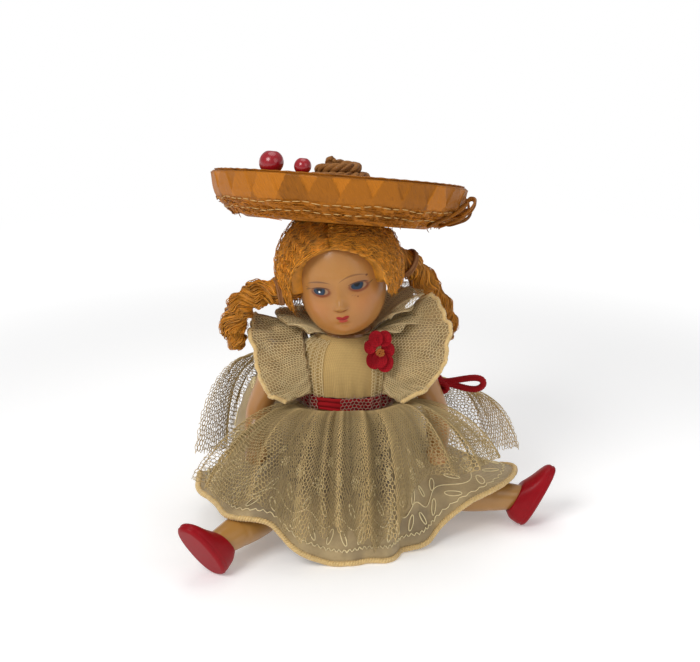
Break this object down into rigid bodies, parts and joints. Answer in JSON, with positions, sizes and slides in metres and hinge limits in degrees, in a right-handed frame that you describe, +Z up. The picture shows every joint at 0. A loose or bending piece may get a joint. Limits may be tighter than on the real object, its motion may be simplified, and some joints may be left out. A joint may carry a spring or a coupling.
{
  "type": "celluloid doll",
  "caption": "Seated jointed celluloid doll in an organza and net dress with a red sash, ringlet pigtails and a plaited straw hat with a rope coil and berries.",
  "frame": {"origin": "floor point in the middle of the doll's flat seat", "axes": "+Z up; the doll faces -Y and its left side is +X"},
  "size_m": [0.102, 0.079, 0.1114],
  "materials": {
    "celluloid": "gloss",
    "pale_celluloid": "satin",
    "red_enamel": "gloss",
    "elastic": "matte",
    "steel_pin": "satin",
    "hair": "satin",
    "thread": "matte",
    "straw": "satin",
    "raffia_rope": "matte",
    "berry_lacquer": "gloss",
    "stem_wire": "matte",
    "navy_cotton": "matte",
    "cream_cotton": "matte",
    "red_ribbon": "satin",
    "organza": "satin",
    "net": "matte",
    "petal_felt": "matte",
    "flower_eye": "matte"
  },
  "bodies": {
    "torso": {"torso_front_shell": "celluloid", "torso_back_shell": "celluloid", "arm_elastic": "elastic", "leg_elastic": "elastic", "neck_elastic": "elastic", "bodice_lining": "navy_cotton", "bodice_front": "cream_cotton", "waist_sash": "red_ribbon", "underskirt": "organza", "net_front": "net", "net_back": "net", "bow_knot": "red_ribbon", "bow_left_loop": "red_ribbon", "bow_right_loop": "red_ribbon", "left_collar_frill": "organza", "right_collar_frill": "organza", "flower_petals": "petal_felt", "flower_eye": "flower_eye"},
    "head": {"head_front_shell": "celluloid", "head_back_shell": "celluloid", "wig": "hair", "right_pigtail": "hair", "left_pigtail": "hair", "right_pigtail_tie": "thread", "left_pigtail_tie": "thread"},
    "hat": {"hat_brim": "straw", "hat_crown": "straw", "hat_rim_band": "straw", "hat_rope": "raffia_rope", "large_berry": "berry_lacquer", "small_berry": "berry_lacquer", "large_berry_stem": "stem_wire", "small_berry_stem": "stem_wire"},
    "left_arm": {"left_arm_outer_shell": "celluloid", "left_arm_inner_shell": "celluloid"},
    "left_leg": {"left_leg_back_shell": "pale_celluloid", "left_leg_front_shell": "pale_celluloid", "left_hip_pin": "steel_pin", "left_shoe": "red_enamel"},
    "right_arm": {"right_arm_outer_shell": "celluloid", "right_arm_inner_shell": "celluloid"},
    "right_leg": {"right_leg_back_shell": "pale_celluloid", "right_leg_front_shell": "pale_celluloid", "right_hip_pin": "steel_pin", "right_shoe": "red_enamel"}
  },
  "joints": [
    {"name": "head_turn", "type": "hinge", "parent": "torso", "child": "head", "pos_m": [0, 0, 0.058], "axis": [0, 0, 1], "range_deg": [-30, 25]},
    {"name": "hat_lift", "type": "slide", "parent": "head", "child": "hat", "axis": [0.0737, 0.2756, 0.9584], "range_m": [0, 0.03]},
    {"name": "left_shoulder", "type": "hinge", "parent": "torso", "child": "left_arm", "pos_m": [0.0125, 0, 0.051], "axis": [-1, 0, 0], "range_deg": [0, 75], "deforming": ["net_front", "left_collar_frill"]},
    {"name": "right_shoulder", "type": "hinge", "parent": "torso", "child": "right_arm", "pos_m": [-0.0125, 0, 0.051], "axis": [-1, 0, 0], "range_deg": [0, 75], "deforming": ["right_collar_frill"]},
    {"name": "left_hip", "type": "hinge", "parent": "torso", "child": "left_leg", "pos_m": [0.0115, -0.0016, 0.0106], "axis": [-0.0174, 0.9998, 0], "range_deg": [0, 75]},
    {"name": "right_hip", "type": "hinge", "parent": "torso", "child": "right_leg", "pos_m": [-0.0115, -0.0016, 0.0106], "axis": [0.7771, -0.6293, 0], "range_deg": [0, 75]}
  ]
}
